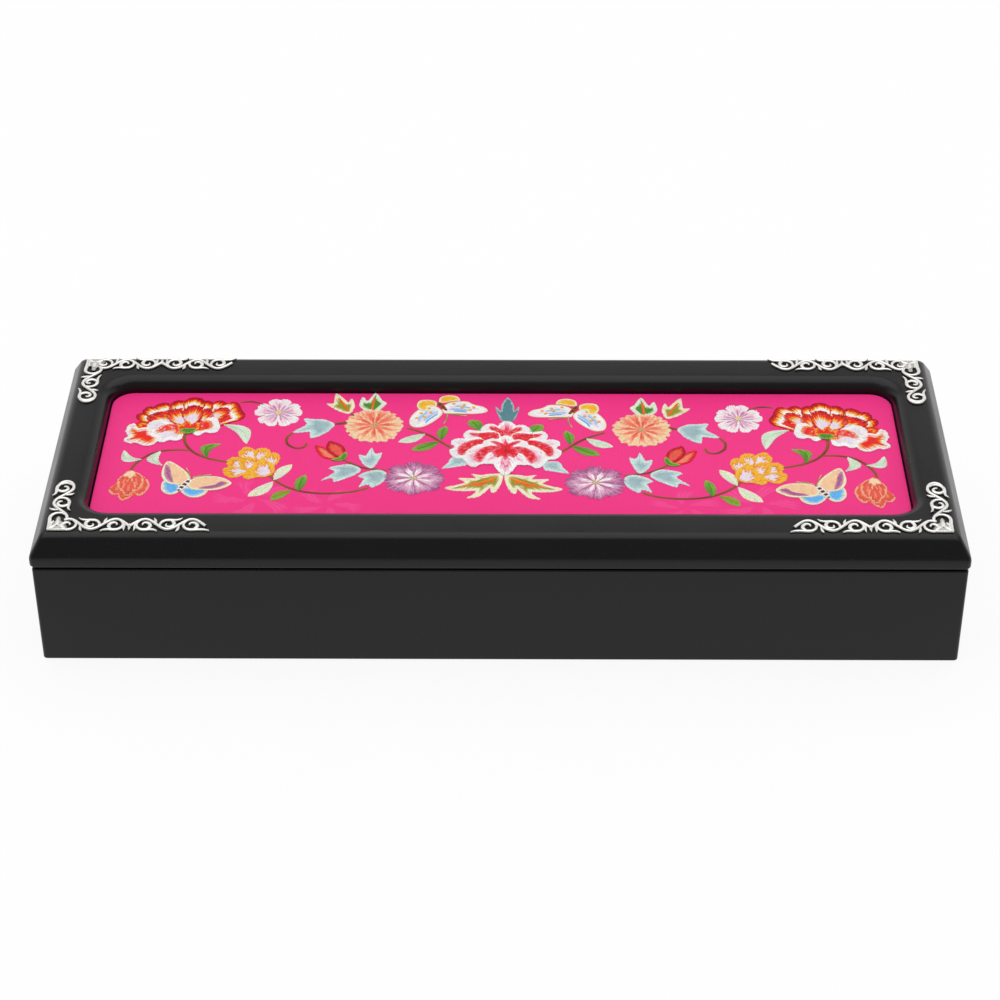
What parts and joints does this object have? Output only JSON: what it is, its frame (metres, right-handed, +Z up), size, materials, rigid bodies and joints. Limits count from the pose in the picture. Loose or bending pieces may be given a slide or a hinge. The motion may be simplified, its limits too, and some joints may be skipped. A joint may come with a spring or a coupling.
{
  "type": "pen case",
  "caption": "Long lacquered wooden pen case with a moulded hinged lid, a sunk embroidered silk panel and pierced arabesque corner mounts.",
  "frame": {"origin": "under the middle of the case, on the surface it stands on, in the middle of its outer box", "axes": "+X along the case to the right of someone facing its front, +Y to the hinged back, +Z up"},
  "size_m": [0.25, 0.0926, 0.0413],
  "materials": {
    "lacquered_wood": "satin black lacquer",
    "backing_card": "plain pressed card",
    "embroidered_silk": "fuchsia silk with satin-stitch embroidery",
    "velvet": "wine-red velvet",
    "silvered_metal": "silvered, matt",
    "hinge_brass": "plain brass"
  },
  "bodies": {
    "box": {"box_front_wall": "lacquered_wood", "box_back_wall": "lacquered_wood", "box_left_wall": "lacquered_wood", "box_right_wall": "lacquered_wood", "box_bottom_board": "lacquered_wood", "floor_velvet_pad": "velvet", "front_velvet_lining": "velvet", "back_velvet_lining": "velvet", "left_velvet_lining": "velvet", "right_velvet_lining": "velvet", "left_hinge_box_leaf": "hinge_brass", "left_hinge_pin": "hinge_brass", "left_hinge_box_screw_1": "hinge_brass", "left_hinge_box_screw_2": "hinge_brass", "right_hinge_box_leaf": "hinge_brass", "right_hinge_pin": "hinge_brass", "right_hinge_box_screw_1": "hinge_brass", "right_hinge_box_screw_2": "hinge_brass"},
    "lid": {"lid_board": "lacquered_wood", "silk_backing_card": "backing_card", "embroidered_silk_panel": "embroidered_silk", "lid_velvet_pad": "velvet", "corner_mount_front_left": "silvered_metal", "corner_mount_front_right": "silvered_metal", "corner_mount_back_left": "silvered_metal", "corner_mount_back_right": "silvered_metal", "left_hinge_lid_leaf": "hinge_brass", "left_hinge_lid_screw_1": "hinge_brass", "left_hinge_lid_screw_2": "hinge_brass", "right_hinge_lid_leaf": "hinge_brass", "right_hinge_lid_screw_1": "hinge_brass", "right_hinge_lid_screw_2": "hinge_brass"}
  },
  "joints": [
    {"name": "lid_hinge", "type": "hinge", "parent": "box", "child": "lid", "pos_m": [0, 0.04465, 0.0313], "axis": [-1, 0, 0], "range_deg": [0, 95]}
  ]
}
